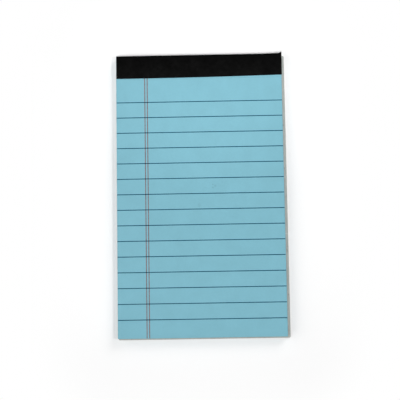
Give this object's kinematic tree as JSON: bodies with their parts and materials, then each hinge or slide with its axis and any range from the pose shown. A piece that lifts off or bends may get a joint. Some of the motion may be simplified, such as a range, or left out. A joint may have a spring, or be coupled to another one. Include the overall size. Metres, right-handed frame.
{
  "type": "tear-off memo pad",
  "caption": "Small tear-off memo pad: ruled blue sheets with a double margin line, a chipboard back and black tape folded over the top edge.",
  "frame": {"origin": "middle of the pad's outline at the level of its underside, where the back flap of the tape rests", "axes": "+Y up the page towards the bound edge, +X to the right of the page, +Z out of the writing face"},
  "size_m": [0.0764, 0.1282, 0.0054],
  "materials": {
    "blue_paper": "matte uncoated writing paper, dyed pale blue",
    "chipboard": "matte grey recycled board",
    "black_tape": "matte black cloth-grained binding tape",
    "staple_wire": "bright drawn steel wire",
    "rule_ink": "matte printed ink",
    "margin_ink": "matte printed ink"
  },
  "bodies": {
    "root": {"ruled_sheets": "blue_paper", "backing_board": "chipboard", "binding_tape": "black_tape", "staple_left": "staple_wire", "staple_right": "staple_wire", "ruled_lines": "rule_ink", "margin_lines": "margin_ink"}
  },
  "joints": []
}
